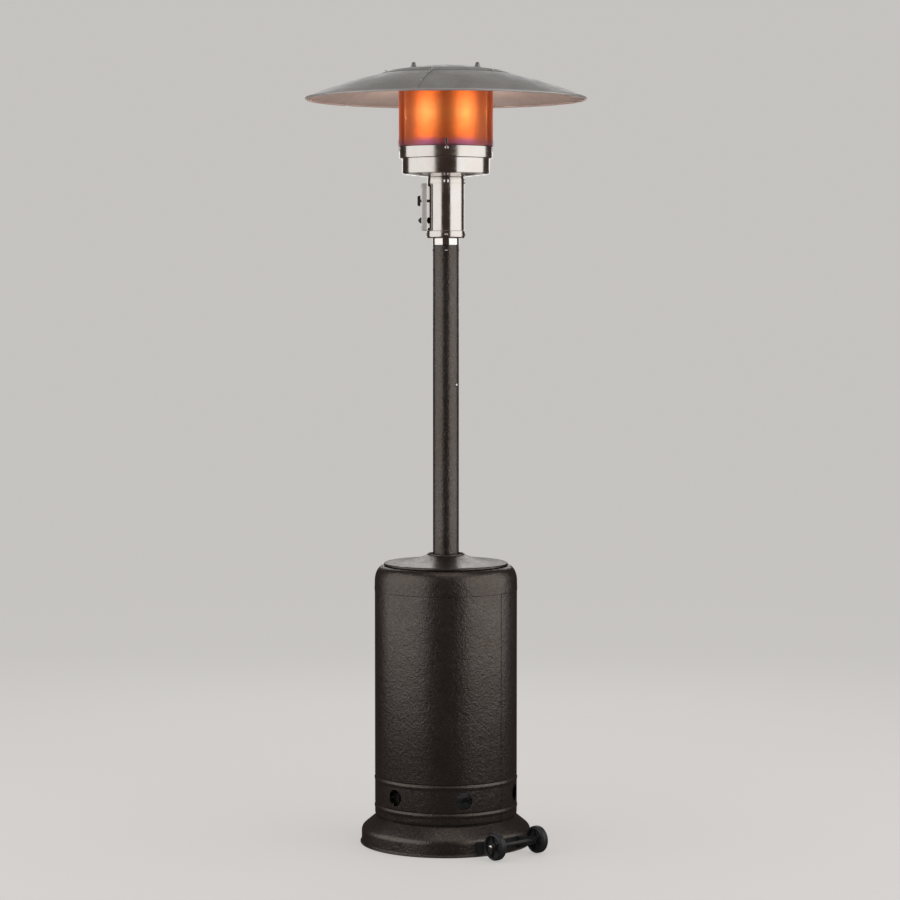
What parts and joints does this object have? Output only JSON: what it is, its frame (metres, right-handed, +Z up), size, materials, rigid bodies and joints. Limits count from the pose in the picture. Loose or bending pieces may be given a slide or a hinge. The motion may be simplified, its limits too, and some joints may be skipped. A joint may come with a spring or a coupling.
{
  "type": "outdoor heater",
  "caption": "Free-standing gas patio heater with a round reflector, a glowing emitter, a slim post and a lift-up housing over the gas cylinder on a wheeled base.",
  "frame": {"origin": "on the post's axis, at floor level under the base's rim", "axes": "+Z up along the post; -Y is the front; the control panel faces -X and the wheels stand out between +X and -Y"},
  "size_m": [0.8104, 0.8104, 2.2575],
  "materials": {
    "hammered_bronze": "hammered dark bronze powder coat, satin with a fine sparkle",
    "polished_steel": "polished stainless steel",
    "chrome": "bright plated",
    "satin_aluminium": "satin rolled sheet",
    "glowing_screen": "perforated heat-resisting steel screen, glowing orange in use",
    "black_plastic": "moulded, fine grain",
    "black_steel": "black powder coat",
    "grey_enamel": "light grey enamel",
    "brass": "machined",
    "cast_zinc": "as cast",
    "rubber": "smooth black rubber",
    "copper": "drawn copper tube",
    "ceramic": "glazed ceramic"
  },
  "bodies": {
    "stand": {"axle_cap_far": "chrome", "axle_cap_near": "chrome", "base_shell": "hammered_bronze", "bracket_bolt_1": "chrome", "bracket_bolt_2": "chrome", "burner_dish": "polished_steel", "burner_ring_lower": "polished_steel", "burner_ring_upper": "polished_steel", "burner_tray": "polished_steel", "cap_nut_1": "chrome", "cap_nut_2": "chrome", "cap_nut_3": "chrome", "control_housing": "polished_steel", "control_panel": "polished_steel", "control_valve": "cast_zinc", "coupling_nut": "black_plastic", "cylinder_valve": "brass", "emitter_screen": "glowing_screen", "emitter_top_plate": "polished_steel", "gas_cylinder": "grey_enamel", "gas_hose": "rubber", "gas_jet": "brass", "hang_screw": "chrome", "head_band": "polished_steel", "head_collar": "polished_steel", "head_spigot": "chrome", "igniter_body": "black_plastic", "ignition_lead": "rubber", "leg_collar": "hammered_bronze", "main_burner": "polished_steel", "mixer_tube": "polished_steel", "panel_backplate": "polished_steel", "pilot_burner": "brass", "pilot_tube": "brass", "post": "hammered_bronze", "reflector_cap": "satin_aluminium", "reflector_panel_1": "satin_aluminium", "reflector_panel_2": "satin_aluminium", "reflector_panel_3": "satin_aluminium", "reflector_stud_1": "polished_steel", "reflector_stud_2": "polished_steel", "reflector_stud_3": "polished_steel", "regulator": "cast_zinc", "spark_electrode": "ceramic", "support_leg_1": "hammered_bronze", "support_leg_2": "hammered_bronze", "support_leg_3": "hammered_bronze", "tank_belt": "rubber", "thermocouple": "copper", "tilt_switch": "black_plastic", "wheel_axle": "black_steel", "wheel_bracket": "black_steel"},
    "tank_cover": {"tank_housing": "hammered_bronze", "housing_lid": "hammered_bronze"},
    "near_wheel": {"wheel_near": "black_plastic"},
    "far_wheel": {"wheel_far": "black_plastic"},
    "knob_stem": {"valve_stem": "brass"},
    "knob": {"control_knob": "black_plastic"},
    "ignition_button": {"igniter_button": "black_plastic"},
    "cylinder_wheel": {"cylinder_handwheel": "black_plastic"}
  },
  "joints": [
    {"name": "housing_lift", "type": "slide", "parent": "stand", "child": "tank_cover", "axis": [0, 0, 1], "range_m": [0, 0.505]},
    {"name": "near_wheel_spin", "type": "hinge", "parent": "stand", "child": "near_wheel", "pos_m": [0.13972, -0.28267, 0.0405], "axis": [0.7547, 0.6561, 0], "continuous": true},
    {"name": "far_wheel_spin", "type": "hinge", "parent": "stand", "child": "far_wheel", "pos_m": [0.26048, -0.1777, 0.0405], "axis": [0.7547, 0.6561, 0], "continuous": true},
    {"name": "knob_push", "type": "slide", "parent": "stand", "child": "knob_stem", "axis": [1, 0, 0], "range_m": [0, 0.003], "stiffness_N_per_m": 900},
    {"name": "knob_turn", "type": "hinge", "parent": "knob_stem", "child": "knob", "pos_m": [-0.0735, 0, 1.865], "axis": [-1, 0, 0], "range_deg": [0, 230]},
    {"name": "igniter_press", "type": "slide", "parent": "stand", "child": "ignition_button", "axis": [1, 0, 0], "range_m": [0, 0.006], "stiffness_N_per_m": 1200},
    {"name": "cylinder_wheel_turn", "type": "hinge", "parent": "stand", "child": "cylinder_wheel", "pos_m": [0, 0, 0.48], "axis": [0, 0, 1], "range_deg": [0, 540]}
  ]
}
